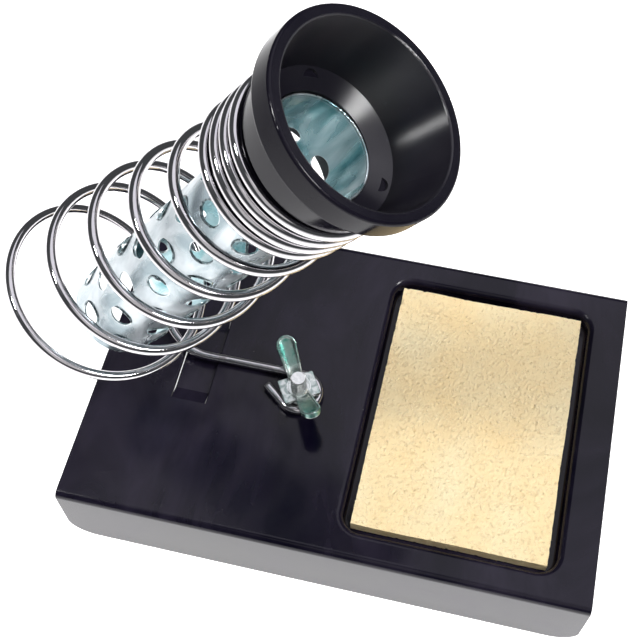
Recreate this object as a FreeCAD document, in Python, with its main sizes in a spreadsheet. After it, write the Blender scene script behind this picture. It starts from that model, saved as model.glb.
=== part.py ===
import FreeCAD, Part
import math
import os
import Sketcher

# A soldering-iron stand: a folded sheet base with a pressed sponge tray, a sponge, a conical wire
# coil that carries a moulded funnel and a perforated heat sleeve, and the wing-nut clamp between them.
# Frame: origin at the centre of the footprint on the bench, X along the base, Y to the back, Z up.

SIZES = [
    ("base_length", 165.0),
    ("base_depth", 110.0),
    ("base_height", 30.0),
    ("sheet", 1.5),
    ("fold_radius", 2.4),
    ("apron_corner", 9.0),
    ("tray_centre", 38.25),
    ("tray_length", 65.5),
    ("tray_depth", 91.2),
    ("tray_sink", 6.0),
    ("tray_corner", 6.0),
    ("tray_rim", 2.2),
    ("tray_floor_radius", 1.0),
    ("strip_centre", -51.5),
    ("strip_width", 11.2),
    ("strip_middle", 1.5),
    ("strip_half_length", 16.0),
    ("strip_ramp", 4.5),
    ("strip_sink", 1.6),
    ("slit", 0.2),
    ("slit_edge", 0.35),
    ("sponge_length", 60.5),
    ("sponge_depth", 86.9),
    ("sponge_lift", 0.3),
    ("sponge_thickness", 4.8),
    ("sponge_corner", 2.0),
    ("bolt_offset", -16.9),
    ("bolt_back", -4.6),
    ("bolt_radius", 2.48),
    ("bolt_hole", 2.75),
    ("bolt_top", 41.5),
    ("bolt_tip_chamfer", 0.3),
    ("thread_pitch", 0.8),
    ("thread_cut", 0.34),
    ("thread_start", 30.6),
    ("head_radius", 4.6),
    ("head_thickness", 3.2),
    ("head_round", 1.4),
    ("recess_width", 1.1),
    ("recess_length", 5.2),
    ("recess_sink", 1.8),
    ("lock_inner", 2.6),
    ("lock_outer", 4.5),
    ("lock_thickness", 1.2),
    ("lock_slit", 0.9),
    ("washer_inner", 2.65),
    ("washer_outer", 5.2),
    ("washer_thickness", 1.0),
    ("stack_gap", 0.1),
    ("nut_along", 8.6),
    ("nut_across", 12.0),
    ("nut_plate", 1.1),
    ("nut_corner", 0.7),
    ("nut_bore", 2.56),
    ("hub_radius", 3.7),
    ("hub_height", 1.9),
    ("hub_cup", 3.1),
    ("hub_cup_sink", 0.5),
    ("nut_turned", 32.0),
    ("wing_slope", 34.0),
    ("wing_start", 3.6),
    ("wing_length", 14.3),
    ("wing_root_width", 4.8),
    ("wing_tip_width", 6.5),
    ("wing_sheet", 0.7),
    ("wing_rim", 0.75),
    ("stamped_edge", 0.28),
    ("wing_hollow", 1.9),
    ("wing_curl", 7.0),
    ("wire_radius", 1.5),
    ("wire_lift", 0.15),
    ("hook_radius", 6.4),
    ("hook_end_angle", 128.0),
    ("hook_tail", 8.8),
    ("foot_start", -49.5),
    ("mouth_along", 4.0),
    ("mouth_back", -6.9),
    ("mouth_height", 174.9),
    ("tilt", 36.9),
    ("swing", -1.8),
    ("coil_depth", 140.0),
    ("coil_first_pitch", 29.3),
    ("coil_pitch_fall", 0.145),
    ("coil_last_pitch", 4.2),
    ("coil_first_radius", 28.69),
    ("coil_radius_fall", 2.15),
    ("coil_last_radius", 20.3),
    ("coil_phase", -10.4),
    ("coil_lean_up", 0.013),
    ("coil_lean_back", 0.178),
    ("open_turns", 5.0),
    ("closing_turn", 0.3),
    ("coil_start_turn", -0.4),
    ("coil_end_turn", 8.475),
    ("straight_turn", 4.5),
    ("mouth_outer", 25.3),
    ("mouth_inner", 22.4),
    ("flange_depth", 7.0),
    ("neck_depth", 8.2),
    ("neck_radius", 22.3),
    ("wall_radius", 20.6),
    ("shoulder_depth", 17.6),
    ("shoulder_radius", 20.7),
    ("grip_depth", 18.7),
    ("grip_radius", 18.75),
    ("funnel_depth", 38.0),
    ("ledge_outer", 18.8),
    ("ledge_depth", 16.6),
    ("ledge_fall", 2.2),
    ("bore_top", 13.75),
    ("bore_bottom", 15.0),
    ("pin_mark_radius", 2.0),
    ("pin_mark_ring", 16.3),
    ("pin_mark_sink", 0.95),
    ("sleeve_radius", 13.6),
    ("sleeve_sheet", 0.5),
    ("sleeve_length", 109.0),
    ("bead_height", 0.8),
    ("bead_sheet", 0.7),
    ("bead_round", 0.3),
    ("sleeve_top_depth", 18.9),
    ("sleeve_tilt", 34.8),
    ("sleeve_swing", 1.4),
    ("hole_radius", 3.25),
    ("hole_pitch", 24.0),
    ("hole_first", 17.4),
    ("hole_turned", -7.1),
]
HOLE_COLUMNS = 14
HOLES_IN_COLUMN = 4
PIN_MARKS = 3
POINTS_PER_TURN = 8

document = FreeCAD.newDocument("soldering_iron_stand")
sheet = document.addObject("Spreadsheet::Sheet", "Sizes")
for row, (alias, value) in enumerate(SIZES, start=1):
    sheet.set("A%d" % row, alias)
    sheet.set("B%d" % row, str(value))
    sheet.setAlias("B%d" % row, alias)
document.recompute()


def size(alias):
    """The value of one driving dimension, in millimetres or degrees."""
    return float(sheet.get(alias))


def bound(words):
    """An expression in the sheet's aliases, from plain words."""
    for alias in sorted((alias for alias, value in SIZES), key=len, reverse=True):
        words = words.replace("{%s}" % alias, "Sizes." + alias)
    return words


def new_body(label):
    body = document.addObject("PartDesign::Body", label)
    body.Label = label
    return body


def new_sketch(body, name, role, level="0"):
    """A sketch on one of the body's own planes, moved along that plane's normal by level."""
    sketch = body.newObject("Sketcher::SketchObject", name)
    plane = [item for item in body.Origin.OriginFeatures if item.Role == role][0]
    sketch.AttachmentSupport = [(plane, "")]
    sketch.MapMode = "FlatFace"
    sketch.setExpression("AttachmentOffset.Base.z", bound(level))
    return sketch


def outline(sketch, corners):
    """A closed straight-sided outline whose corners are pairs of bound expressions."""
    count = len(corners)
    for place in range(count):
        start = FreeCAD.Vector(place, (place * place) % 7, 0)
        end = FreeCAD.Vector(place + 1, ((place + 1) * (place + 1)) % 7, 0)
        sketch.addGeometry(Part.LineSegment(start, end), False)
    for place in range(count):
        following = (place + 1) % count
        sketch.addConstraint(Sketcher.Constraint("Coincident", place, 2, following, 1))
    for place, (across, up) in enumerate(corners):
        for kind, words in (("DistanceX", across), ("DistanceY", up)):
            index = sketch.addConstraint(Sketcher.Constraint(kind, -1, 1, place, 1, 1.0))
            sketch.setExpression("Constraints[%d]" % index, bound(words))
    return sketch


def rectangle(sketch, middle_x, middle_y, wide, tall):
    """A rectangle about a middle point, all four given as bound expressions."""
    left = "(%s) - (%s) / 2" % (middle_x, wide)
    right = "(%s) + (%s) / 2" % (middle_x, wide)
    low = "(%s) - (%s) / 2" % (middle_y, tall)
    high = "(%s) + (%s) / 2" % (middle_y, tall)
    return outline(sketch, [(left, low), (right, low), (right, high), (left, high)])


def circle(sketch, radius, middle_x="0", middle_y="0"):
    place = sketch.addGeometry(Part.Circle(FreeCAD.Vector(1, 1, 0), FreeCAD.Vector(0, 0, 1), 1.0), False)
    for kind, words in (("DistanceX", middle_x), ("DistanceY", middle_y)):
        index = sketch.addConstraint(Sketcher.Constraint(kind, -1, 1, place, 3, 1.0))
        sketch.setExpression("Constraints[%d]" % index, bound(words))
    index = sketch.addConstraint(Sketcher.Constraint("Radius", place, 1.0))
    sketch.setExpression("Constraints[%d]" % index, bound(radius))
    return sketch


def pad(body, name, sketch, length, both_ways=False, downward=False):
    feature = body.newObject("PartDesign::Pad", name)
    feature.Profile = sketch
    feature.setExpression("Length", bound(length))
    feature.Midplane = both_ways
    feature.Reversed = downward
    document.recompute()
    return feature


def pocket(body, name, sketch, length, both_ways=False, upward=False):
    """A pocket, refused where it takes nothing away."""
    before = body.Shape.Volume
    feature = body.newObject("PartDesign::Pocket", name)
    feature.Profile = sketch
    feature.setExpression("Length", bound(length))
    feature.Midplane = both_ways
    feature.Reversed = upward
    document.recompute()
    if body.Shape.Volume >= before:
        raise RuntimeError(name + " cuts nothing")
    return feature


def revolve(body, name, sketch):
    feature = body.newObject("PartDesign::Revolution", name)
    feature.Profile = sketch
    feature.ReferenceAxis = (sketch, ["V_Axis"])
    feature.Angle = 360.0
    document.recompute()
    return feature


def fillet(body, name, radius, chosen):
    """Rounds the edges of the body's tip for which chosen(edge) is true."""
    tip = body.Tip
    names = ["Edge%d" % (place + 1) for place, edge in enumerate(tip.Shape.Edges) if chosen(edge)]
    if not names:
        raise RuntimeError(name + " finds no edge")
    feature = body.newObject("PartDesign::Fillet", name)
    feature.Base = (tip, names)
    feature.setExpression("Radius", bound(radius))
    document.recompute()
    return feature


def near(value, target, slack=0.01):
    return abs(value - target) < slack


def runs_along(edge, axis):
    """True for a straight edge parallel to one axis, 0 for X, 1 for Y and 2 for Z."""
    if not isinstance(edge.Curve, Part.Line):
        return False
    return near(abs(edge.tangentAt(edge.FirstParameter)[axis]), 1.0)


def lies_flat(edge, level):
    box = edge.BoundBox
    return near(box.ZMin, level) and near(box.ZMax, level)


def within(edge, half_x, half_y, middle_x):
    box = edge.BoundBox
    across = max(abs(box.XMin - middle_x), abs(box.XMax - middle_x))
    return across < half_x and max(abs(box.YMin), abs(box.YMax)) < half_y


def make_base_plate():
    """One sheet: top, two long aprons, the pressed tray and the pressed strip between two slits."""
    body = new_body("base_plate")
    top = size("base_height")
    under = top - size("sheet")
    length = size("base_length")

    block = rectangle(new_sketch(body, "base_outline", "XY_Plane"), "0", "0", "{base_length}", "{base_depth}")
    pad(body, "base_block", block, "{base_height}")
    fillet(body, "base_folds", "{fold_radius}", lambda edge: runs_along(edge, 0) and lies_flat(edge, top))

    tip = body.Tip
    open_faces = []
    for place, face in enumerate(tip.Shape.Faces):
        box = face.BoundBox
        is_end = near(box.XMin, box.XMax)
        is_bottom = near(box.ZMin, 0.0) and near(box.ZMax, 0.0)
        if is_end or is_bottom:
            open_faces.append("Face%d" % (place + 1))
    shell = body.newObject("PartDesign::Thickness", "base_shell")
    shell.Base = (tip, open_faces)
    shell.setExpression("Value", bound("{sheet}"))
    shell.Reversed = True
    document.recompute()

    fillet(
        body,
        "apron_corners",
        "{apron_corner}",
        lambda edge: runs_along(edge, 1)
        and lies_flat(edge, 0.0)
        and near(abs(edge.BoundBox.XMin), length / 2),
    )

    half_x = size("tray_length") / 2
    half_y = size("tray_depth") / 2
    middle = size("tray_centre")
    reach = size("sheet") + 0.1
    floor = top - size("tray_sink")

    def of_tray(edge):
        return within(edge, half_x + reach, half_y + reach, middle)

    outer = new_sketch(body, "tray_outer", "XY_Plane", "{base_height} - {sheet}")
    rectangle(outer, "{tray_centre}", "0", "{tray_length} + 2 * {sheet}", "{tray_depth} + 2 * {sheet}")
    pad(body, "tray_block", outer, "{tray_sink}", downward=True)
    inner = new_sketch(body, "tray_inner", "XY_Plane", "{base_height}")
    rectangle(inner, "{tray_centre}", "0", "{tray_length}", "{tray_depth}")
    pocket(body, "tray_hollow", inner, "{tray_sink}")
    fillet(
        body,
        "tray_inner_corners",
        "{tray_corner}",
        lambda edge: runs_along(edge, 2)
        and near(edge.BoundBox.ZMin, floor)
        and near(edge.BoundBox.ZMax, top),
    )
    fillet(
        body,
        "tray_outer_corners",
        "{tray_corner} + {sheet}",
        lambda edge: runs_along(edge, 2) and near(edge.BoundBox.ZMax, under) and of_tray(edge),
    )
    fillet(
        body,
        "tray_outer_floor",
        "{tray_floor_radius} + {sheet}",
        lambda edge: lies_flat(edge, floor - size("sheet")) and of_tray(edge),
    )
    fillet(
        body,
        "tray_inner_floor",
        "{tray_floor_radius}",
        lambda edge: lies_flat(edge, floor) and of_tray(edge),
    )
    fillet(body, "tray_rim_bend", "{tray_rim}", lambda edge: lies_flat(edge, top) and of_tray(edge))

    window = new_sketch(body, "strip_window", "XY_Plane", "{base_height}")
    rectangle(
        window,
        "{strip_centre}",
        "{strip_middle}",
        "{strip_width} + 2 * {slit}",
        "2 * {strip_half_length}",
    )
    pocket(body, "strip_cut", window, "{sheet} * 1.5")
    slit_x = size("strip_width") / 2 + size("slit")

    def beside_slit(edge):
        place = abs(edge.BoundBox.XMin - size("strip_centre"))
        return runs_along(edge, 1) and lies_flat(edge, top) and near(place, slit_x)

    fillet(body, "slit_edges", "{slit_edge}", beside_slit)
    strip = new_sketch(body, "strip_profile", "YZ_Plane", "{strip_centre}")
    corners = []
    for drop in ("0", "{sheet}"):
        edge_line = []
        for sign in ("-", "+"):
            far_end = "{strip_middle} %s {strip_half_length}" % sign
            ramp_end = "{strip_middle} %s ({strip_half_length} - {strip_ramp})" % sign
            high = "{base_height} - %s" % drop
            low = "{base_height} - {strip_sink} - %s" % drop
            pair = [(far_end, high), (ramp_end, low)]
            edge_line += pair if sign == "-" else pair[::-1]
        corners += edge_line if drop == "0" else edge_line[::-1]
    outline(strip, corners)
    pad(body, "strip", strip, "{strip_width}", both_ways=True)

    hole_sketch = new_sketch(body, "bolt_hole_sketch", "XY_Plane", "{base_height}")
    hole = circle(hole_sketch, "{bolt_hole}", "{bolt_offset}", "{bolt_back}")
    pocket(body, "bolt_clearance", hole, "{sheet} * 1.5")
    return body


def make_sponge():
    """The sponge as a plain block with eased corners, resting just above the tray floor."""
    body = new_body("sponge")
    flat = new_sketch(body, "sponge_outline", "XY_Plane")
    rectangle(flat, "0", "0", "{sponge_length}", "{sponge_depth}")
    pad(body, "sponge_block", flat, "{sponge_thickness}")
    fillet(body, "sponge_corners", "{sponge_corner}", lambda edge: runs_along(edge, 2))
    body.setExpression("Placement.Base.x", bound("{tray_centre}"))
    body.setExpression("Placement.Base.z", bound("{base_height} - {tray_sink} + {sponge_lift}"))
    return body


def ring(body, name, inner, outer, thickness):
    """A flat ring standing on the body's own origin."""
    flat = circle(circle(new_sketch(body, name + "_outline", "XY_Plane"), outer), inner)
    return pad(body, name, flat, thickness)


def put_on_bolt(item, level):
    """Centres a finished piece on the bolt, with its own origin at a bound height."""
    item.setExpression("Placement.Base.x", bound("{bolt_offset}"))
    item.setExpression("Placement.Base.y", bound("{bolt_back}"))
    item.setExpression("Placement.Base.z", bound(level))


def make_clamp_screw():
    """M5 pan-head screw that comes up through the plate, its thread cut as ring grooves."""
    body = new_body("clamp_screw")
    half_section = new_sketch(body, "screw_profile", "XZ_Plane")
    shank_top = "{bolt_top} - ({base_height} - {sheet} - {lock_thickness})"
    outline(
        half_section,
        [
            ("0", "-{head_thickness}"),
            ("{head_radius}", "-{head_thickness}"),
            ("{head_radius}", "0"),
            ("{bolt_radius}", "0"),
            ("{bolt_radius}", shank_top + " - {bolt_tip_chamfer}"),
            ("{bolt_radius} - {bolt_tip_chamfer}", shank_top),
            ("0", shank_top),
        ],
    )
    revolve(body, "screw", half_section)
    low = -size("head_thickness")
    fillet(body, "head_edge", "{head_round}", lambda edge: lies_flat(edge, low))

    notch = new_sketch(body, "thread_notch", "XZ_Plane")
    first = "{thread_start} - ({base_height} - {sheet} - {lock_thickness})"
    outline(
        notch,
        [
            ("{bolt_radius} + 0.1", first),
            ("{bolt_radius} - {thread_cut}", first + " + {thread_pitch} / 2"),
            ("{bolt_radius} + 0.1", first + " + {thread_pitch}"),
        ],
    )
    before = body.Shape.Volume
    groove = body.newObject("PartDesign::Groove", "thread_ring")
    groove.Profile = notch
    groove.ReferenceAxis = (notch, ["V_Axis"])
    groove.Angle = 360.0
    document.recompute()
    count = int((size("bolt_top") - size("bolt_tip_chamfer") - size("thread_start")) / size("thread_pitch"))
    pattern = body.newObject("PartDesign::LinearPattern", "thread")
    pattern.Originals = [groove]
    pattern.Direction = (origin_axis(body, "Z_Axis"), [""])
    pattern.setExpression("Length", bound("{thread_pitch} * %d" % (count - 1)))
    pattern.Occurrences = count
    body.Tip = pattern
    document.recompute()
    if body.Shape.Volume >= before:
        raise RuntimeError("thread cuts nothing")

    for name, wide, tall in (
        ("recess_one", "{recess_length}", "{recess_width}"),
        ("recess_two", "{recess_width}", "{recess_length}"),
    ):
        slot_sketch = new_sketch(body, name + "_outline", "XY_Plane", "-{head_thickness}")
        slot = rectangle(slot_sketch, "0", "0", wide, tall)
        pocket(body, name, slot, "{recess_sink}", upward=True)
    put_on_bolt(body, "{base_height} - {sheet} - {lock_thickness}")
    return body


def origin_axis(body, role):
    return [item for item in body.Origin.OriginFeatures if item.Role == role][0]


def make_lock_washer():
    """Split ring between the screw's head and the underside of the plate."""
    body = new_body("lock_washer")
    ring(body, "lock_ring", "{lock_inner}", "{lock_outer}", "{lock_thickness}")
    gap = new_sketch(body, "lock_gap", "XY_Plane", "{lock_thickness}")
    rectangle(gap, "0", "{lock_outer}", "{lock_slit}", "{lock_outer} * 1.5")
    pocket(body, "lock_split", gap, "{lock_thickness}")
    put_on_bolt(body, "{base_height} - {sheet} - {lock_thickness}")
    return body


def make_flat_washer():
    """Plain ring that bridges from the bolt onto the hooked wire."""
    body = new_body("flat_washer")
    ring(body, "washer_ring", "{washer_inner}", "{washer_outer}", "{washer_thickness}")
    put_on_bolt(body, "{base_height} + {wire_lift} + 2 * {wire_radius} + {stack_gap}")
    return body


def primitive(kind, name, **sizes):
    """A Part primitive whose properties are bound expressions."""
    item = document.addObject("Part::" + kind, name)
    for prop, words in sizes.items():
        item.setExpression(prop.replace("__", "."), bound(words))
    return item


def joined(name, parts):
    item = document.addObject("Part::MultiFuse", name)
    item.Shapes = parts
    item.Refine = True
    return item


def less(name, base, tool):
    item = document.addObject("Part::Cut", name)
    item.Base = base
    item.Tool = tool
    return item


def shared(name, one, other):
    item = document.addObject("Part::MultiCommon", name)
    item.Shapes = [one, other]
    return item


def spoon(name, start, inset, height):
    """A tapered outline with a round end, drawn in by inset all round, as an upright block."""
    straight = "{wing_length} - {wing_tip_width} / 2"
    taper = primitive(
        "Wedge",
        name + "_taper",
        Xmin="-{wing_root_width} / 2 + %s" % inset,
        Xmax="{wing_root_width} / 2 - %s" % inset,
        X2min="-{wing_tip_width} / 2 + %s" % inset,
        X2max="{wing_tip_width} / 2 - %s" % inset,
        Ymin=start,
        Ymax=straight,
        Zmin="0",
        Zmax=height,
        Z2min="0",
        Z2max=height,
    )
    tip = primitive(
        "Cylinder",
        name + "_tip",
        Radius="{wing_tip_width} / 2 - %s" % inset,
        Height=height,
        Placement__Base__y=straight,
    )
    return joined(name, [taper, tip])


def rounded(name, base, level):
    """The base with the edges that lie at one height rounded as stamping leaves them."""
    document.recompute()
    item = document.addObject("Part::Fillet", name)
    item.Base = base
    radius = size("stamped_edge")
    edges = enumerate(base.Shape.Edges, start=1)
    item.Edges = [(place, radius, radius) for place, edge in edges if lies_flat(edge, level)]
    document.recompute()
    return item


def trough(name, radius):
    """A cylinder that lies along the wing and touches its lowest line when radius is wing_curl."""
    tube = primitive(
        "Cylinder",
        name,
        Radius=radius,
        Height="{wing_length} + 2",
        Placement__Base__y="-1",
        Placement__Base__z="{wing_curl}",
    )
    tube.Placement.Rotation = FreeCAD.Rotation(FreeCAD.Vector(1, 0, 0), -90)
    return tube


def make_wing(name, turn):
    """One stamped wing: a rimmed spoon with a rounded back, sloping up and out from the hub."""
    blank = shared(
        name + "_blank",
        trough(name + "_back", "{wing_curl}"),
        spoon(name + "_edge", "0", "0", "{wing_hollow}"),
    )
    scoop = shared(
        name + "_scoop",
        trough(name + "_floor", "{wing_curl} - {wing_sheet}"),
        spoon(name + "_inside", "-1", "{wing_rim}", "2 * {wing_hollow}"),
    )
    wing = rounded(name, less(name + "_sheet", blank, scoop), size("wing_hollow"))
    rise = FreeCAD.Rotation(FreeCAD.Vector(1, 0, 0), size("wing_slope"))
    place = FreeCAD.Placement(FreeCAD.Vector(0, size("wing_start"), size("nut_plate") / 2), rise)
    round_hub = FreeCAD.Placement(FreeCAD.Vector(), FreeCAD.Rotation(FreeCAD.Vector(0, 0, 1), turn))
    wing.Placement = round_hub.multiply(place)
    return wing


def make_wing_nut():
    """Stamped wing nut: oblong plate with eased corners, low cupped hub, two spoon wings."""
    plate = primitive(
        "Box",
        "nut_oblong",
        Length="{nut_across}",
        Width="{nut_along}",
        Height="{nut_plate}",
        Placement__Base__x="-{nut_across} / 2",
        Placement__Base__y="-{nut_along} / 2",
    )
    rounding = primitive(
        "Cylinder",
        "nut_rounding",
        Radius="sqrt({nut_across} ^ 2 + {nut_along} ^ 2) / 2 - {nut_corner} / 3",
        Height="{nut_plate}",
    )
    hub = primitive("Cylinder", "nut_hub", Radius="{hub_radius}", Height="{hub_height}")
    solid = joined(
        "nut_solid",
        [
            rounded("nut_plate", shared("nut_blank", plate, rounding), size("nut_plate")),
            hub,
            make_wing("wing_one", 0),
            make_wing("wing_two", 180),
        ],
    )
    bore = primitive(
        "Cylinder", "nut_bore_tool", Radius="{nut_bore}", Height="{hub_height} + 2", Placement__Base__z="-1"
    )
    cup = primitive(
        "Cylinder",
        "nut_cup_tool",
        Radius="{hub_cup}",
        Height="{hub_height}",
        Placement__Base__z="{hub_height} - {hub_cup_sink}",
    )
    nut = less("wing_nut", solid, joined("nut_holes", [bore, cup]))
    nut.Label = "wing_nut"
    nut.Placement.Rotation = FreeCAD.Rotation(FreeCAD.Vector(0, 0, 1), size("nut_turned"))
    put_on_bolt(nut, "{base_height} + {wire_lift} + 2 * {wire_radius} + 2 * {stack_gap} + {washer_thickness}")
    return nut


def mouth_frame():
    """The funnel's placement: origin at the mouth's centre, Z out of the mouth along the coil's axis."""
    turn = FreeCAD.Rotation(size("swing"), size("tilt"), 0)
    centre = FreeCAD.Vector(size("mouth_along"), size("mouth_back"), size("mouth_height"))
    return FreeCAD.Placement(centre, turn)


def coil_depth_at(turn):
    """Depth below the mouth after a number of turns from the lowest one: open turns that close up
    steadily, a short change of pitch, then even tight turns."""
    last_open = size("open_turns")
    fall = size("coil_pitch_fall")
    first_pitch = size("coil_first_pitch")

    def open_depth(turns):
        return size("coil_depth") - first_pitch / fall * (1 - math.exp(-fall * turns))

    if turn <= last_open:
        return open_depth(turn)
    pitch_then = first_pitch * math.exp(-fall * last_open)
    final = size("coil_last_pitch")
    change = size("closing_turn")
    run = min(turn - last_open, change)
    depth = open_depth(last_open) - pitch_then * run + (pitch_then - final) * run * run / (2 * change)
    return depth - final * max(turn - last_open - change, 0)


def coil_point(turn):
    """A point of the wire's centreline on the coil, in the part's frame."""
    frame = mouth_frame()
    radius = max(size("coil_first_radius") - size("coil_radius_fall") * turn, size("coil_last_radius"))
    angle = math.radians(360 * turn + size("coil_phase"))
    from_straight = max(size("straight_turn") - turn, 0)
    uphill = radius * math.cos(angle) + size("coil_lean_up") * from_straight ** 2
    forward = radius * math.sin(angle) - size("coil_lean_back") * from_straight ** 2
    up_axis = frame.Rotation.multVec(FreeCAD.Vector(0, 0, 1))
    level = FreeCAD.Vector(-1, 0, 0)
    uphill_axis = (level - up_axis * level.dot(up_axis)).normalize()
    forward_axis = up_axis.cross(uphill_axis)
    depth = coil_depth_at(turn)
    return frame.Base - up_axis * depth + uphill_axis * uphill + forward_axis * forward


def wire_centreline():
    """Hook tail, hook, foot, the bend up into the coil, and the coil, as one smooth wire."""
    level = size("base_height") + size("wire_lift") + size("wire_radius")
    bolt = FreeCAD.Vector(size("bolt_offset"), size("bolt_back"), level)
    radius = size("hook_radius")

    def on_hook(degrees):
        angle = math.radians(degrees)
        return bolt + FreeCAD.Vector(radius * math.cos(angle), radius * math.sin(angle), 0)

    last = -size("hook_end_angle")
    hook_end = on_hook(last)
    tail_way = FreeCAD.Vector(math.sin(math.radians(last)), -math.cos(math.radians(last)), 0)
    tail = Part.LineSegment(hook_end + tail_way * size("hook_tail"), hook_end)
    hook = Part.Arc(hook_end, on_hook((last + 90) / 2), on_hook(90))
    foot_end = FreeCAD.Vector(size("foot_start"), bolt.y + radius, level)
    foot = Part.LineSegment(on_hook(90), foot_end)

    first = size("coil_start_turn")
    count = int(round((size("coil_end_turn") - first) * POINTS_PER_TURN))
    stations = [(foot_end, FreeCAD.Vector(-1, 0, 0))]
    for place in range(count + 1):
        turn = first + place / POINTS_PER_TURN
        stations.append((coil_point(turn), coil_way(turn)))
    arcs = []
    for (start, start_way), (end, end_way) in zip(stations, stations[1:]):
        arcs += arc_pair(start, start_way, end, end_way)
    return Part.Wire([curve.toShape() for curve in [tail, hook, foot] + arcs])


def coil_way(turn):
    """The wire's direction on the coil."""
    nearby = 0.001
    return (coil_point(turn + nearby) - coil_point(turn - nearby)).normalize()


def arc_pair(start, start_way, end, end_way):
    """Two tangent arcs that leave one point in one direction and reach another in another."""
    chord = end - start
    ways = start_way + end_way
    spread_of_ways = 2 * (1 - start_way.dot(end_way))
    along = chord.dot(ways)
    reach = (math.sqrt(along ** 2 + spread_of_ways * chord.dot(chord)) - along) / spread_of_ways
    leaving = start + start_way * reach
    arriving = end - end_way * reach
    meeting = (leaving + arriving) * 0.5
    return [arc_towards(start, leaving, meeting), arc_towards(meeting, arriving, end)]


def arc_towards(start, corner, end):
    """The arc between two points whose tangents meet at corner, equally far from both."""
    middle = (start + end) * 0.5
    half_chord = (end - start).Length / 2
    rise = corner - middle
    half_turn = math.atan2(rise.Length, half_chord)
    return Part.Arc(start, middle + rise.normalize() * half_chord * math.tan(half_turn / 2), end)


def make_wire_holder():
    """The one wire that hooks the bolt, lies along the plate and winds up into the coil."""
    path = wire_centreline()
    radius = size("wire_radius")
    start = path.Edges[0]
    first = start.FirstParameter
    section = Part.Wire([Part.makeCircle(radius, start.valueAt(first), start.tangentAt(first))])
    solid = path.makePipeShell([section], True, False)
    expected = math.pi * radius ** 2 * path.Length
    if abs(solid.Volume - expected) > 0.01 * expected:
        raise RuntimeError("the wire's volume is %.0f, not %.0f" % (solid.Volume, expected))
    item = document.addObject("Part::Feature", "wire_holder")
    item.Label = "wire_holder"
    item.Shape = solid
    item.Placement = FreeCAD.Placement()
    return item


def make_funnel():
    """Moulded mouth: flange, tapering neck, the plain end gripped by the tight turns, and inside a
    cone, a ledge with three round marks and the bore that holds the sleeve."""
    body = new_body("funnel")
    half_section = new_sketch(body, "funnel_profile", "XZ_Plane")
    outline(
        half_section,
        [
            ("{mouth_inner}", "0"),
            ("{mouth_outer}", "0"),
            ("{mouth_outer}", "-{flange_depth}"),
            ("{neck_radius}", "-{neck_depth}"),
            ("{shoulder_radius}", "-{shoulder_depth}"),
            ("{grip_radius}", "-{grip_depth}"),
            ("{grip_radius}", "-{funnel_depth}"),
            ("{bore_bottom}", "-{funnel_depth}"),
            ("{bore_top}", "-{ledge_depth} - {ledge_fall}"),
            ("{ledge_outer}", "-{ledge_depth}"),
            ("{wall_radius}", "-{neck_depth}"),
        ],
    )
    revolve(body, "funnel_solid", half_section)

    def ring_at(level, radius):
        def chosen(edge):
            return lies_flat(edge, level) and near(edge.BoundBox.XMax, radius, 0.05)

        return chosen

    flange = size("flange_depth")
    fillet(body, "mouth_edge", "0.8", ring_at(0, size("mouth_outer")))
    fillet(body, "mouth_lip", "0.5", ring_at(0, size("mouth_inner")))
    fillet(body, "flange_edge", "1.0", ring_at(-flange, size("mouth_outer")))
    fillet(body, "neck_root", "0.5", ring_at(-size("neck_depth"), size("neck_radius")))

    floor = "-{ledge_depth} - {pin_mark_sink}"
    mark_sketch = new_sketch(body, "pin_mark_outline", "XY_Plane", floor)
    mark = circle(mark_sketch, "{pin_mark_radius}", "{pin_mark_ring}")
    first = pocket(body, "pin_mark", mark, "{pin_mark_sink} + 0.2", upward=True)
    spread(body, "pin_marks", [first], PIN_MARKS)
    body.Placement = mouth_frame()
    return body


def spread(body, name, features, count):
    """Repeats features evenly round the body's own Z axis."""
    before = body.Shape.Volume
    pattern = body.newObject("PartDesign::PolarPattern", name)
    pattern.Originals = features
    pattern.Axis = (origin_axis(body, "Z_Axis"), [""])
    pattern.Angle = 360.0
    pattern.Occurrences = count
    body.Tip = pattern
    document.recompute()
    if body.Shape.Volume >= before:
        raise RuntimeError(name + " cuts nothing")
    return pattern


def make_heat_sleeve():
    """Thin tube with a turned-in rim and staggered columns of round holes, hanging a little steeper
    than the coil."""
    body = new_body("heat_sleeve")
    flat = circle(new_sketch(body, "sleeve_outline", "XY_Plane"), "{sleeve_radius}")
    circle(flat, "{sleeve_radius} - {sleeve_sheet}")
    pad(body, "sleeve_tube", flat, "{sleeve_length}", downward=True)
    bead = circle(new_sketch(body, "bead_outline", "XY_Plane"), "{sleeve_radius}")
    circle(bead, "{sleeve_radius} - {bead_sheet}")
    pad(body, "turned_in_bead", bead, "{bead_height}", downward=True)
    rims = (size("sleeve_radius"), size("sleeve_radius") - size("bead_sheet"))

    def on_rim(edge):
        return lies_flat(edge, 0.0) and any(near(edge.BoundBox.XMax, radius) for radius in rims)

    fillet(body, "bead_edges", "{bead_round}", on_rim)
    columns = []
    for name, side, stagger in (("even", "", "0"), ("odd", "-", "{hole_pitch} / 2")):
        face = new_sketch(body, "holes_" + name, "YZ_Plane", side + "({sleeve_radius} + 1)")
        for place in range(HOLES_IN_COLUMN):
            depth = "-({hole_first} + %s + %d * {hole_pitch})" % (stagger, place)
            circle(face, "{hole_radius}", "0", depth)
        columns.append(pocket(body, "column_" + name, face, "{sleeve_radius}", upward=side == "-"))
    spread(body, "columns", columns, HOLE_COLUMNS // 2)

    frame = mouth_frame()
    down = frame.Rotation.multVec(FreeCAD.Vector(0, 0, -1))
    lean = FreeCAD.Rotation(size("sleeve_swing"), size("sleeve_tilt"), 0)
    turned = FreeCAD.Rotation(FreeCAD.Vector(0, 0, 1), size("hole_turned"))
    body.Placement = FreeCAD.Placement(frame.Base + down * size("sleeve_top_depth"), lean.multiply(turned))
    return body


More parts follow.
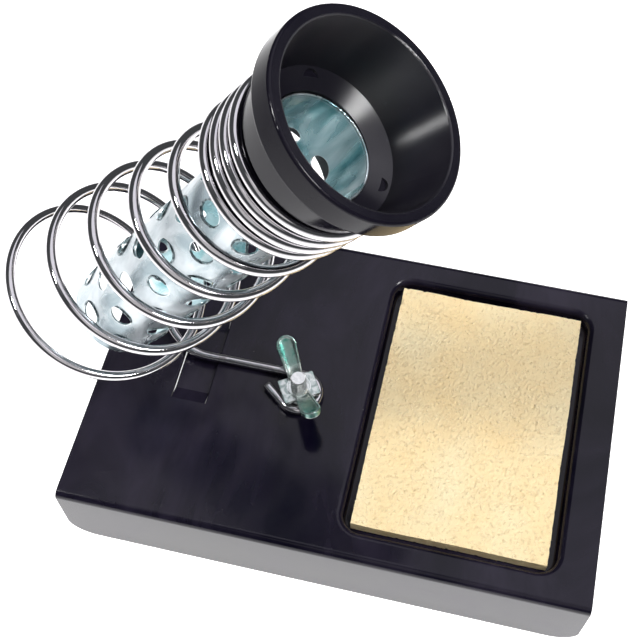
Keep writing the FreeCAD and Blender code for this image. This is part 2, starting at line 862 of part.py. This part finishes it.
nodes = [
    make_base_plate(),
    make_sponge(),
    make_clamp_screw(),
    make_lock_washer(),
    make_flat_washer(),
    make_wing_nut(),
    make_wire_holder(),
    make_funnel(),
    make_heat_sleeve(),
]
document.recompute()

for item in document.Objects:
    if "Invalid" in item.State or "Error" in item.State:
        raise RuntimeError("%s did not build: %s" % (item.Label, item.State))
for node in nodes:
    if node.Shape.isNull() or not node.Shape.isValid() or len(node.Shape.Solids) != 1:
        raise RuntimeError("%s is not one valid solid" % node.Label)

os.makedirs("parts", exist_ok=True)
for node in nodes:
    node.Shape.exportStep("parts/%s.step" % node.Label)
    box = node.Shape.BoundBox
    print(
        "%-12s volume %8.0f  x %.1f %.1f  y %.1f %.1f  z %.1f %.1f"
        % (node.Label, node.Shape.Volume, box.XMin, box.XMax, box.YMin, box.YMax, box.ZMin, box.ZMax)
    )
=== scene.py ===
import math
import random

import bmesh
import bpy
from mathutils import Matrix, Vector, noise


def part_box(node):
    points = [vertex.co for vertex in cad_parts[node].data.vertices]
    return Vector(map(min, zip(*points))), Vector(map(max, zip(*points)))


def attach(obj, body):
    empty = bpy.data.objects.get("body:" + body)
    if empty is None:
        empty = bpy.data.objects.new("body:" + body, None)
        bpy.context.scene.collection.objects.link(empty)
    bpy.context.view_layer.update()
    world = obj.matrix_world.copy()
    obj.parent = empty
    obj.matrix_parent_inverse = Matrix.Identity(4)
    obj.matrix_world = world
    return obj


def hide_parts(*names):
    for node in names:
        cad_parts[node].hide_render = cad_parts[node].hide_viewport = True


# The looks of the soldering-iron stand: materials for the CAD pieces, a porous sponge, a rounder
# wire, burrs on the sleeve, a pale floor, soft studio lights and the camera. Objects are in
# metres, in the CAD frame.

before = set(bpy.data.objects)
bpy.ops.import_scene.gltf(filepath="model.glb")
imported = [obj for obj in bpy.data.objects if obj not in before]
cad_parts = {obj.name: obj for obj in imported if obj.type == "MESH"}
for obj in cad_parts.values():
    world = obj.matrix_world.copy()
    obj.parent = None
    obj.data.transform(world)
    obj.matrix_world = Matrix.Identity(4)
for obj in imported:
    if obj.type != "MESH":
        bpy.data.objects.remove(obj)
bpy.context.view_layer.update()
MM = 0.001

# Where the photograph was taken from, in metres and degrees, and the lens in millimetres.
CAMERA_PLACE = Vector((33.12, -163.09, 358.99)) * MM
CAMERA_TURN = (30.456, 1.021, 13.207)
CAMERA_LENS = 64.175

# The floor's glow near the stand and far from it, and the distances it fades between, in metres.
FLOOR_GLOW = 1.08
FAR_GLOW = 0.3
GLOW_FADE = (0.25, 0.8)
FLOOR_HALF = 15.0

# The weak light from all round, and the soft boxes, which all point at LIT_POINT: the place and
# size of each in metres, its power in watts and its colour.
SKY_COLOUR = (0.9, 0.95, 1.0, 1.0)
SKY_STRENGTH = 0.08
LIT_POINT = (0, 0, 0.08)
SOFT_BOXES = {
    "ceiling": ((0.3, 0.5, 1.7), (1.8, 1.8), 10.4, (0.95, 0.93, 1.0)),
    "right": ((0.8, -0.06, 1.02), (0.22, 0.22), 8.6, (1.0, 1.0, 1.0)),
    "left": ((-0.62, -0.22, 1.05), (0.16, 0.16), 6.2, (1.0, 1.0, 1.0)),
    "front": ((0.42, -0.8, 1.2), (1.3, 1.0), 2.4, (1.0, 0.97, 0.97)),
}

# The middle of the funnel's mouth, in metres, and how far the coil and the sleeve lean over and
# are swung round, in degrees.
MOUTH = Vector((4.0, -6.9, 174.9)) * MM
COIL_TILT = 36.9
COIL_SWING = -1.8
SLEEVE_TILT = 34.8
SLEEVE_SWING = 1.4

# The wire, in millimetres and degrees: the hook round the screw, the foot, and the closing coil.
# The pitches and radii are the first one, its fall with each turn and the last one, and the lean
# is how far the lower turns stray sideways for the square of their distance from STRAIGHT_TURN.
WIRE_RADIUS = 1.5
WIRE_LEVEL = 31.65
BOLT = (-16.9, -4.6)
HOOK_RADIUS = 6.4
HOOK_START = 90.0
HOOK_END = -128.0
HOOK_TAIL = 8.8
FOOT_END = -49.5
COIL_DEPTH = 140.0
COIL_PITCHES = (29.3, 0.145, 4.2)
COIL_RADII = (28.69, 2.15, 20.3)
COIL_PHASE = -10.4
COIL_LEAN = (0.013, 0.178)
OPEN_TURNS = 5.0
CLOSING_TURN = 0.3
COIL_TURNS = (-0.4, 8.475)
STRAIGHT_TURN = 4.5

# How finely the wire's line and its round skin are divided, and how far its ends are eased.
TAIL_STEPS = 8
HOOK_STEPS = 40
FOOT_STEPS = 16
BEND_STEPS = 12
STEPS_PER_TURN = 150
WIRE_SIDES = 28
WIRE_EASE = 0.3

# The sleeve's holes, in millimetres and degrees.
SLEEVE_TOP = 18.9
SLEEVE_RADIUS = 13.6
HOLE_COLUMNS = 14
HOLES_IN_COLUMN = 4
HOLE_RADIUS = 3.25
HOLE_PITCH = 24.0
HOLE_FIRST = 17.4
HOLE_TURNED = -7.1

# The burrs round the holes, in millimetres and radians: their thickness and the share of it left
# at their ends, how far outside the hole's edge they run and how much that wobbles, how far round
# they go, and how high they stand.
BURR_RADIUS = 0.3
BURR_END = 0.25
BURR_OUTSIDE = 0.12
BURR_WOBBLE = 0.1
BURR_SWEEP = (2.4, 5.4)
BURR_RISE = (0.16, 0.28)
BURR_STEPS = 28
BURR_SIDES = 8

# The sponge's skin: its grid, margin, waves and pores in millimetres, and the noise they follow.
SPONGE_CELL = 0.7
SPONGE_MARGIN = 0.25
WAVE_HEIGHT = 0.25
WAVES_PER_METRE = 60
PORE_DEPTH = 0.5
PORES_PER_METRE = 900
PORE_NOISE_START = 0.15


def direction(tilt, swing):
    """The unit vector that stands up, leans over by tilt and is swung round by swing."""
    tilt, swing = math.radians(tilt), math.radians(swing)
    across = math.sin(tilt)
    return Vector((across * math.cos(swing), across * math.sin(swing), math.cos(tilt)))


# ---------------------------------------------------------------- node helpers


class Nodes:
    """A short way to write one material's node tree."""

    def __init__(self, name, colour, roughness, metallic=0.0, specular=0.5):
        self.material = bpy.data.materials.new(name)
        self.material.use_nodes = True
        self.tree = self.material.node_tree
        self.shader = self.tree.nodes["Principled BSDF"]
        self.shader.inputs["Base Color"].default_value = (*colour, 1.0)
        self.shader.inputs["Roughness"].default_value = roughness
        self.shader.inputs["Metallic"].default_value = metallic
        self.shader.inputs["Specular IOR Level"].default_value = specular
        self.place = self.add("ShaderNodeTexCoord").outputs["Object"]

    def add(self, kind, **settings):
        node = self.tree.nodes.new(kind)
        for name, value in settings.items():
            setattr(node, name, value)
        return node

    def link(self, source, target):
        self.tree.links.new(source, target)

    def feed(self, socket, value):
        if hasattr(value, "is_output"):
            self.link(value, socket)
        else:
            socket.default_value = value

    def turned(self, origin, tilt, swing):
        """Coordinates whose Z runs along a tilted axis through origin, in metres."""
        node = self.add("ShaderNodeMapping", vector_type="TEXTURE")
        self.link(self.place, node.inputs["Vector"])
        node.inputs["Location"].default_value = origin
        node.inputs["Rotation"].default_value = (0, math.radians(tilt), math.radians(swing))
        return node.outputs["Vector"]

    def noise(self, size, detail=3.0, rough=0.5, where=None, stretch=None, distortion=0.0):
        """Noise whose features are about size metres across."""
        vector = where or self.place
        if stretch:
            vector = self.vector("MULTIPLY", vector, stretch)
        node = self.add("ShaderNodeTexNoise")
        self.link(vector, node.inputs["Vector"])
        node.inputs["Scale"].default_value = 1.0 / size
        node.inputs["Detail"].default_value = detail
        node.inputs["Roughness"].default_value = rough
        node.inputs["Distortion"].default_value = distortion
        return node.outputs["Fac"]

    def cells(self, size):
        """The distance to the nearest of many scattered points about size metres apart."""
        node = self.add("ShaderNodeTexVoronoi")
        self.link(self.place, node.inputs["Vector"])
        node.inputs["Scale"].default_value = 1.0 / size
        return node.outputs["Distance"]

    def range(self, value, low, high, out_low=0.0, out_high=1.0):
        """The value's run from low to high spread over the run from out_low to out_high."""
        node = self.add("ShaderNodeMapRange")
        self.link(value, node.inputs["Value"])
        node.inputs["From Min"].default_value = low
        node.inputs["From Max"].default_value = high
        node.inputs["To Min"].default_value = out_low
        node.inputs["To Max"].default_value = out_high
        return node.outputs["Result"]

    def maths(self, operation, first, second=0.0):
        node = self.add("ShaderNodeMath", operation=operation)
        self.feed(node.inputs[0], first)
        self.feed(node.inputs[1], second)
        return node.outputs["Value"]

    def mix(self, amount, first, second):
        node = self.add("ShaderNodeMix", data_type="RGBA")
        self.feed(node.inputs["Factor"], amount)
        sockets = [socket for socket in node.inputs if socket.type == "RGBA"]
        for socket, colour in zip(sockets, (first, second)):
            if hasattr(colour, "is_output"):
                self.link(colour, socket)
            else:
                socket.default_value = (*colour, 1.0)
        return [socket for socket in node.outputs if socket.type == "RGBA"][0]

    def bump(self, height, depth, strength=1.0, under=None):
        """A bump of depth metres for a height that runs from 0 to 1."""
        node = self.add("ShaderNodeBump")
        node.inputs["Strength"].default_value = strength
        node.inputs["Distance"].default_value = depth
        self.link(height, node.inputs["Height"])
        if under:
            self.link(under, node.inputs["Normal"])
        return node.outputs["Normal"]

    def vector(self, operation, first, second=(0, 0, 0)):
        node = self.add("ShaderNodeVectorMath", operation=operation)
        self.feed(node.inputs[0], first)
        self.feed(node.inputs[1], second)
        return node.outputs["Value" if operation in ("LENGTH", "DOT_PRODUCT") else "Vector"]

    def rings(self, origin, tilt, swing):
        """For a turned piece: 1 where a face looks at the axis, and the way across its rings."""
        axis = direction(tilt, swing)
        normal = self.add("ShaderNodeTexCoord").outputs["Normal"]
        round_axis = self.vector("CROSS_PRODUCT", axis, self.vector("SUBTRACT", self.place, origin))
        outward = self.vector("CROSS_PRODUCT", round_axis, axis)
        inner = self.range(self.vector("DOT_PRODUCT", normal, outward), -0.002, 0.002, 1.0, 0.0)
        turn = self.add("ShaderNodeVectorTransform", vector_type="VECTOR")
        turn.convert_from = "OBJECT"
        turn.convert_to = "WORLD"
        self.link(self.vector("CROSS_PRODUCT", round_axis, normal), turn.inputs["Vector"])
        return inner, self.vector("NORMALIZE", turn.outputs["Vector"])

    def edges(self, radius):
        """1 along edges and creases, within about radius of them, and 0 elsewhere."""
        bevel = self.add("ShaderNodeBevel", samples=6)
        bevel.inputs["Radius"].default_value = radius
        true = self.add("ShaderNodeNewGeometry").outputs["True Normal"]
        return self.range(self.vector("DOT_PRODUCT", bevel.outputs["Normal"], true), 0.985, 0.86)

    def set(self, **sockets):
        """Feeds the shader's sockets and gives back the finished material."""
        for name, value in sockets.items():
            self.feed(self.shader.inputs[name.replace("_", " ")], value)
        return self.material


# ---------------------------------------------------------------- materials


def paint_black():
    """Black stove enamel: slight orange peel, faint wiping marks and a little dust."""
    n = Nodes("paint_black", (0.006, 0.0055, 0.0095), 0.2, specular=0.31)
    smears = n.noise(0.03, detail=5, rough=0.6, stretch=(1.0, 0.35, 1.0), distortion=0.6)
    peel = n.noise(0.0014, detail=2)
    specks = n.range(n.cells(0.013), 0.022, 0.012)
    colour = n.mix(n.range(smears, 0.38, 0.66), (0.0022, 0.0016, 0.007), (0.018, 0.0145, 0.028))
    dusty = n.mix(n.maths("MULTIPLY", specks, 0.25), colour, (0.25, 0.25, 0.27))
    rough = n.range(smears, 0.3, 0.8, 0.13, 0.26)
    return n.set(Base_Color=dusty, Roughness=rough, Normal=n.bump(peel, 0.00002, 0.35))


def chrome():
    """Bright chromed spring wire with faint drawing marks and a few duller patches."""
    n = Nodes("chrome", (0.66, 0.65, 0.67), 0.06, metallic=1.0)
    haze = n.noise(0.006, detail=4)
    spots = n.range(n.cells(0.0035), 0.12, 0.04)
    fine = n.noise(0.0007, detail=2)
    colour = n.mix(haze, (0.60, 0.58, 0.60), (0.72, 0.71, 0.73))
    dulled = n.mix(n.maths("MULTIPLY", spots, 0.3), colour, (0.3, 0.28, 0.27))
    rough = n.range(haze, 0.3, 0.8, 0.05, 0.13)
    return n.set(Base_Color=dulled, Roughness=rough, Normal=n.bump(fine, 0.000003, 0.3))


def zinc(name, dull, bright):
    """Zinc-plated steel between two greys, green on the nut's wings, with a painted highlight along
    its edges.
    """
    n = Nodes(name, bright, 0.2, metallic=0.9)
    from_bolt = n.vector("SUBTRACT", n.place, (BOLT[0] * MM, BOLT[1] * MM, 0))
    reach = n.vector("LENGTH", n.vector("MULTIPLY", from_bolt, (1, 1, 0)))
    cloud = n.noise(0.0025, detail=4, distortion=0.5)
    green = n.maths("MULTIPLY", n.range(reach, 0.0055, 0.0075), n.range(cloud, 0.25, 0.6))
    silver = n.mix(n.range(cloud, 0.42, 0.58), dull, bright)
    # Painted highlight: the colour turns near white along every edge and crease.
    edge = n.edges(0.0006)
    colour = n.mix(edge, n.mix(green, silver, (0.07, 0.25, 0.21)), (0.98, 1.0, 0.99))
    rough = n.range(cloud, 0.3, 0.7, 0.14, 0.28)
    grain = n.bump(n.noise(0.0006), 0.000008, 0.3)
    dents = n.bump(n.noise(0.0035, detail=1), 0.0002, 0.35, under=grain)
    return n.set(Base_Color=colour, Roughness=rough, Normal=dents)


def sleeve_zinc():
    """Thin zinc-plated sheet: grey clouds outside, blue-green inside, and a painted highlight along
    its cut edges.
    """
    n = Nodes("sleeve_zinc", (0.6, 0.66, 0.72), 0.3, metallic=0.85)
    along = n.turned(MOUTH, SLEEVE_TILT, SLEEVE_SWING)
    inner, _ = n.rings(MOUTH, SLEEVE_TILT, SLEEVE_SWING)
    dents = n.noise(0.011, detail=1, where=along)
    cloud = n.noise(0.010, detail=4, where=along, stretch=(1, 1, 0.45), distortion=0.9)
    brushed = n.noise(0.0011, detail=3, where=along, stretch=(1, 1, 0.04))
    outer = n.mix(n.range(cloud, 0.38, 0.62), (0.30, 0.37, 0.40), (0.68, 0.74, 0.77))
    bore = n.mix(n.range(cloud, 0.38, 0.62), (0.18, 0.40, 0.43), (0.74, 0.85, 0.88))
    # Painted highlight: the colour turns near white along the cut edges and creases.
    colour = n.mix(n.edges(0.0005), n.mix(inner, outer, bore), (0.95, 0.97, 0.98))
    normal = n.bump(dents, 0.0006, 0.5, under=n.bump(brushed, 0.00001, 0.3))
    return n.set(Base_Color=colour, Roughness=n.range(cloud, 0.3, 0.7, 0.2, 0.36), Normal=normal)


def burr_zinc():
    """The rough, shadowed metal of the curls round the sleeve's holes."""
    n = Nodes("burr_zinc", (0.2, 0.25, 0.27), 0.3, metallic=0.9)
    torn = n.noise(0.0012, detail=3)
    colour = n.mix(n.range(torn, 0.4, 0.6), (0.05, 0.075, 0.085), (0.42, 0.5, 0.52))
    return n.set(Base_Color=colour, Normal=n.bump(n.noise(0.0005), 0.00004, 0.6))


def phenolic():
    """Black glossy moulding: shiny along the mould's fine rings inside, smoother outside."""
    n = Nodes("phenolic", (0.007, 0.006, 0.011), 0.2)
    inner, across = n.rings(MOUTH, COIL_TILT, COIL_SWING)
    haze = n.noise(0.01, detail=5, rough=0.6)
    scuffs = n.range(n.noise(0.0016, detail=4, rough=0.7), 0.66, 0.76)
    ground = n.mix(haze, (0.005, 0.004, 0.009), (0.010, 0.009, 0.015))
    colour = n.mix(n.maths("MULTIPLY", scuffs, 0.22), ground, (0.12, 0.12, 0.14))
    smooth = n.range(haze, 0.3, 0.8, 0.1, 0.2)
    rough = n.maths("ADD", smooth, n.maths("MULTIPLY", inner, 0.19))
    along = n.turned(MOUTH, COIL_TILT, COIL_SWING)
    marks = n.bump(n.noise(0.0009, detail=2, where=along), 0.00001, 0.2)
    shine = n.range(inner, 0.0, 1.0, 0.16, 0.9)
    n.set(Specular_IOR_Level=shine, Anisotropic=inner, Tangent=across)
    return n.set(Base_Color=colour, Roughness=rough, Normal=marks)


def sponge_stuff():
    """Dry cellulose sponge: pale cream, a fine mosaic of grains, and small open pores darkened with
    painted shade.
    """
    n = Nodes("sponge_stuff", (0.97, 0.8, 0.48), 0.95, specular=0.1)
    grains = n.cells(0.0010)
    small = n.cells(0.0005)
    cloud = n.noise(0.02, detail=3)
    pores = n.noise(0.0013, detail=3, rough=0.7)
    ground = n.mix(n.range(cloud, 0.3, 0.7), (0.98, 0.76, 0.42), (0.99, 0.84, 0.53))
    light = n.range(grains, 0.0, 0.35, 0.4, 0.0)
    grainy = n.mix(light, ground, (0.98, 0.88, 0.67))
    open_pores = n.range(pores, 0.56, 0.74)
    # Painted shade: the colour darkens in the open pores, where the bump also pits the skin.
    colour = n.mix(n.maths("MULTIPLY", open_pores, 0.42), grainy, (0.74, 0.5, 0.23))
    crumbs = n.maths("MULTIPLY", n.range(small, 0.5, 0.0), 0.4)
    height = n.maths("ADD", n.range(grains, 0.5, 0.0), crumbs)
    pitted = n.maths("SUBTRACT", height, open_pores)
    return n.set(Base_Color=colour, Normal=n.bump(pitted, 0.0003, 0.9))


def dress(node, material):
    """Gives a CAD node its finished material."""
    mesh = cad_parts[node].data
    mesh.materials.clear()
    mesh.materials.append(material)


# ---------------------------------------------------------------- mesh helpers


def mesh_piece(name, points, faces, material, smooth=False):
    """A new object of these points and faces, in the scene and with its material."""
    mesh = bpy.data.meshes.new(name)
    mesh.from_pydata(points, [], faces)
    if smooth:
        mesh.polygons.foreach_set("use_smooth", [True] * len(mesh.polygons))
    mesh.materials.append(material)
    piece = bpy.data.objects.new(name, mesh)
    bpy.context.scene.collection.objects.link(piece)
    return piece


def faces_between(low, high, sides):
    """The quads between two rings of points whose numbers start at low and at high."""
    quads = []
    for side in range(sides):
        following = (side + 1) % sides
        quads.append((low + side, low + following, high + following, high + side))
    return quads


# ---------------------------------------------------------------- sponge


def make_sponge(material):
    """The sponge as a fine grid with a porous, slightly uneven skin, inside its CAD block."""
    low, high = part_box("sponge")
    cell = SPONGE_CELL * MM
    size = high - low
    counts = [max(2, int(round(extent / cell))) for extent in size]
    numbers = {}
    points = []
    faces = []

    def point(i, j, k):
        """The number of a grid point, which is added when it is first asked for."""
        key = (i, j, k)
        if key not in numbers:
            numbers[key] = len(points)
            points.append(Vector((i / counts[0], j / counts[1], k / counts[2])))
        return numbers[key]

    for axis in range(3):
        one, two = [other for other in range(3) if other != axis]
        for side in (0, counts[axis]):
            for a in range(counts[one]):
                for b in range(counts[two]):
                    corners = []
                    for da, db in ((0, 0), (1, 0), (1, 1), (0, 1)):
                        index = [0, 0, 0]
                        index[axis] = side
                        index[one] = a + da
                        index[two] = b + db
                        corners.append(point(*index))
                    faces.append(corners)
    margin = SPONGE_MARGIN * MM
    room = [extent - 2 * margin for extent in size]
    placed = []
    for unit in points:
        spot = Vector(low[axis] + margin + unit[axis] * room[axis] for axis in range(3))
        sway = noise.noise(spot * WAVES_PER_METRE) * WAVE_HEIGHT * MM
        pit = max(0.0, noise.noise(spot * PORES_PER_METRE) - PORE_NOISE_START) * PORE_DEPTH * MM
        shift = Vector((0, 0, 0))
        if unit.z > 0.99:
            shift.z += sway - pit
        if unit.x < 0.001 or unit.x > 0.999:
            shift.x += (1 if unit.x < 0.5 else -1) * pit + sway
        if unit.y < 0.001 or unit.y > 0.999:
            shift.y += (1 if unit.y < 0.5 else -1) * pit + sway
        placed.append(spot + shift)
    piece = mesh_piece("sponge_skin", placed, faces, material)
    skin = bmesh.new()
    skin.from_mesh(piece.data)
    bmesh.ops.recalc_face_normals(skin, faces=skin.faces)
    skin.to_mesh(piece.data)
    skin.free()
    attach(piece, "sponge_block")
    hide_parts("sponge")


# ---------------------------------------------------------------- wire


def coil_depth(turn):
    """Depth below the mouth: open turns that close up steadily, then even tight turns."""
    first_pitch, fall, last_pitch = COIL_PITCHES

    def open_depth(turns):
        return COIL_DEPTH - first_pitch / fall * (1 - math.exp(-fall * turns))

    if turn <= OPEN_TURNS:
        return open_depth(turn)
    pitch = first_pitch * math.exp(-fall * OPEN_TURNS)
    run = min(turn - OPEN_TURNS, CLOSING_TURN)
    slowing = (pitch - last_pitch) * run * run / (2 * CLOSING_TURN)
    depth = open_depth(OPEN_TURNS) - pitch * run + slowing
    return depth - last_pitch * max(turn - OPEN_TURNS - CLOSING_TURN, 0)


def coil_point(turn):
    """A point of the wire's centreline on the coil, in millimetres."""
    axis = direction(COIL_TILT, COIL_SWING)
    level = Vector((-1, 0, 0))
    uphill_axis = (level - axis * level.dot(axis)).normalized()
    forward_axis = axis.cross(uphill_axis)
    radius = max(COIL_RADII[0] - COIL_RADII[1] * turn, COIL_RADII[2])
    angle = math.radians(360 * turn + COIL_PHASE)
    lean = max(STRAIGHT_TURN - turn, 0) ** 2
    uphill = radius * math.cos(angle) + COIL_LEAN[0] * lean
    forward = radius * math.sin(angle) - COIL_LEAN[1] * lean
    return MOUTH / MM - axis * coil_depth(turn) + uphill_axis * uphill + forward_axis * forward


def arc_points(start, corner, end, count):
    """Points after start on the arc between start and end whose tangents meet at corner."""
    half = (corner - start).angle(end - corner) / 2
    weight = math.cos(half)
    points = []
    for place in range(1, count + 1):
        t = place / count
        shares = ((1 - t) ** 2, 2 * t * (1 - t) * weight, t * t)
        points.append((start * shares[0] + corner * shares[1] + end * shares[2]) / sum(shares))
    return points


def bend_points(start, start_way, end, end_way):
    """Two tangent arcs that leave one point in one direction and reach another in another."""
    chord = end - start
    ways = start_way + end_way
    spread = 2 * (1 - start_way.dot(end_way))
    along = chord.dot(ways)
    reach = (math.sqrt(along ** 2 + spread * chord.dot(chord)) - along) / spread
    leaving = start + start_way * reach
    arriving = end - end_way * reach
    meeting = (leaving + arriving) / 2
    first_arc = arc_points(start, leaving, meeting, BEND_STEPS)
    return first_arc + arc_points(meeting, arriving, end, BEND_STEPS)


def wire_points():
    """The centreline from the hook's tail to the last tight turn, in millimetres."""

    def on_hook(degrees):
        angle = math.radians(degrees)
        out = Vector((math.cos(angle), math.sin(angle), 0)) * HOOK_RADIUS
        return Vector((*BOLT, WIRE_LEVEL)) + out

    last = math.radians(HOOK_END)
    tail_way = Vector((math.sin(last), -math.cos(last), 0))
    tail_start = on_hook(HOOK_END)
    points = [tail_start + tail_way * HOOK_TAIL * i / TAIL_STEPS for i in range(TAIL_STEPS, 0, -1)]
    sweep = HOOK_START - HOOK_END
    points += [on_hook(HOOK_END + sweep * i / HOOK_STEPS) for i in range(HOOK_STEPS + 1)]
    foot_start = points[-1]
    foot_end = Vector((FOOT_END, BOLT[1] + HOOK_RADIUS, WIRE_LEVEL))
    points += [foot_start.lerp(foot_end, i / FOOT_STEPS) for i in range(1, FOOT_STEPS + 1)]
    first, final = COIL_TURNS
    way = (coil_point(first + 0.001) - coil_point(first)).normalized()
    points += bend_points(foot_end, Vector((-1, 0, 0)), coil_point(first), way)
    count = int((final - first) * STEPS_PER_TURN)
    turns = [first + (final - first) * i / count for i in range(1, count + 1)]
    return points + [coil_point(turn) for turn in turns]


def make_wire(material):
    """The wire as one smooth round tube with slightly eased ends."""
    sides = WIRE_SIDES
    ease = WIRE_EASE
    points = wire_points()
    before = points[:1] + points[:-1]
    after = points[1:] + points[-1:]
    ways = [(following - previous).normalized() for previous, following in zip(before, after)]
    across = ways[0].cross(Vector((0, 0, 1))).normalized()
    rings = [(points[0], ways[0], 0.0), (points[0], ways[0], WIRE_RADIUS - ease)]
    rings += [(points[0] + ways[0] * ease, ways[0], WIRE_RADIUS)]
    rings += [(point, way, WIRE_RADIUS) for point, way in zip(points[1:-1], ways[1:-1])]
    rings += [(points[-1] - ways[-1] * ease, ways[-1], WIRE_RADIUS)]
    rings += [(points[-1], ways[-1], WIRE_RADIUS - ease), (points[-1], ways[-1], 0.0)]
    verts = []
    faces = []
    for row, (centre, way, radius) in enumerate(rings):
        across = (across - way * across.dot(way)).normalized()
        other = way.cross(across)
        for side in range(sides):
            turn = 2 * math.pi * side / sides
            rim = across * math.cos(turn) + other * math.sin(turn)
            verts.append((centre + rim * max(radius, 0.001)) * MM)
        if row:
            faces += faces_between((row - 1) * sides, row * sides, sides)
    piece = mesh_piece("wire_round", verts, faces, material, smooth=True)
    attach(piece, "holder")
    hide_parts("wire_holder")


# ---------------------------------------------------------------- burrs round the holes


def make_burrs(material):
    """Thin raised curls of sheet that the punch left round the sleeve's holes."""
    swung = Matrix.Rotation(math.radians(SLEEVE_SWING), 3, "Z")
    lean = swung @ Matrix.Rotation(math.radians(SLEEVE_TILT), 3, "Y")
    start = MOUTH / MM - direction(COIL_TILT, COIL_SWING) * SLEEVE_TOP
    chance = random.Random(7)
    verts = []
    faces = []
    steps = BURR_STEPS
    sides = BURR_SIDES
    for column in range(HOLE_COLUMNS):
        for place in range(HOLES_IN_COLUMN):
            depth = HOLE_FIRST + HOLE_PITCH * (place + (column % 2) / 2)
            middle = math.radians(HOLE_TURNED + 360 / HOLE_COLUMNS * column)
            first = chance.uniform(0, 2 * math.pi)
            sweep = chance.uniform(*BURR_SWEEP)
            rise = chance.uniform(*BURR_RISE)
            base = len(verts)
            for step in range(steps + 1):
                share = step / steps
                angle = first + sweep * share
                swell = math.sin(math.pi * share) ** 0.4
                thick = BURR_RADIUS * (BURR_END + (1 - BURR_END) * swell)
                round_hole = HOLE_RADIUS + BURR_OUTSIDE + BURR_WOBBLE * math.sin(3 * angle + first)
                out = Vector((math.cos(angle), math.sin(angle)))
                for side in range(sides):
                    turn = 2 * math.pi * side / sides
                    reach = round_hole + thick * math.cos(turn)
                    radius = SLEEVE_RADIUS + rise * 0.5 + thick * math.sin(turn)
                    around = middle + math.asin(reach * out.x / SLEEVE_RADIUS)
                    spot = Vector((math.cos(around), math.sin(around), 0)) * radius
                    spot.z = reach * out.y - depth
                    verts.append((start + lean @ spot) * MM)
                if step:
                    previous = base + (step - 1) * sides
                    faces += faces_between(previous, previous + sides, sides)
    piece = mesh_piece("hole_burrs", verts, faces, material, smooth=True)
    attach(piece, "holder")


# ---------------------------------------------------------------- studio


def make_floor():
    """Plain pale floor that glows to an even white round the stand, and less further out."""
    n = Nodes("floor_pale", (0.8, 0.8, 0.8), 0.7, specular=0.2)
    glow = n.range(n.vector("LENGTH", n.place), *GLOW_FADE, FLOOR_GLOW, FAR_GLOW)
    n.set(Emission_Color=(1.0, 0.99, 0.985, 1.0), Emission_Strength=glow)
    half = FLOOR_HALF
    corners = [(-half, -half, 0), (half, -half, 0), (half, half, 0), (-half, half, 0)]
    floor = mesh_piece("floor", corners, [(0, 1, 2, 3)], n.material)


def make_light(name, place, aim, size, power, colour):
    """A rectangular soft box that points at aim."""
    lamp = bpy.data.lights.new(name, "AREA")
    lamp.shape = "RECTANGLE"
    lamp.size, lamp.size_y = size
    lamp.energy = power
    lamp.color = colour
    light = bpy.data.objects.new(name, lamp)
    light.location = place
    light.rotation_euler = (Vector(aim) - Vector(place)).to_track_quat("-Z", "Y").to_euler()
    bpy.context.scene.collection.objects.link(light)


def make_studio():
    """The floor, a weak light from all round and the soft boxes."""
    scene = bpy.context.scene
    scene.view_settings.view_transform = "Standard"
    world = bpy.data.worlds.new("studio")
    world.use_nodes = True
    sky = world.node_tree.nodes["Background"]
    sky.inputs["Color"].default_value = SKY_COLOUR
    sky.inputs["Strength"].default_value = SKY_STRENGTH
    scene.world = world
    make_floor()
    for name, (place, size, power, colour) in SOFT_BOXES.items():
        make_light(name, place, LIT_POINT, size, power, colour)


def make_camera():
    """The camera, at the photograph's viewing angle."""
    data = bpy.data.cameras.new("camera")
    data.lens = CAMERA_LENS
    data.sensor_width = 36.0
    data.clip_start = 0.01
    camera = bpy.data.objects.new("camera", data)
    camera.location = CAMERA_PLACE
    camera.rotation_euler = [math.radians(turn) for turn in CAMERA_TURN]
    bpy.context.scene.collection.objects.link(camera)
    bpy.context.scene.camera = camera


make_camera()
make_studio()
dress("base_plate", paint_black())
screw_zinc = zinc("screw_zinc", (0.75, 0.78, 0.77), (0.97, 0.98, 0.97))
for fastener in ("clamp_screw", "lock_washer", "flat_washer"):
    dress(fastener, screw_zinc)
dress("wing_nut", zinc("nut_zinc", (0.34, 0.41, 0.39), (0.74, 0.79, 0.77)))
make_wire(chrome())
dress("funnel", phenolic())
dress("heat_sleeve", sleeve_zinc())
make_burrs(burr_zinc())
make_sponge(sponge_stuff())
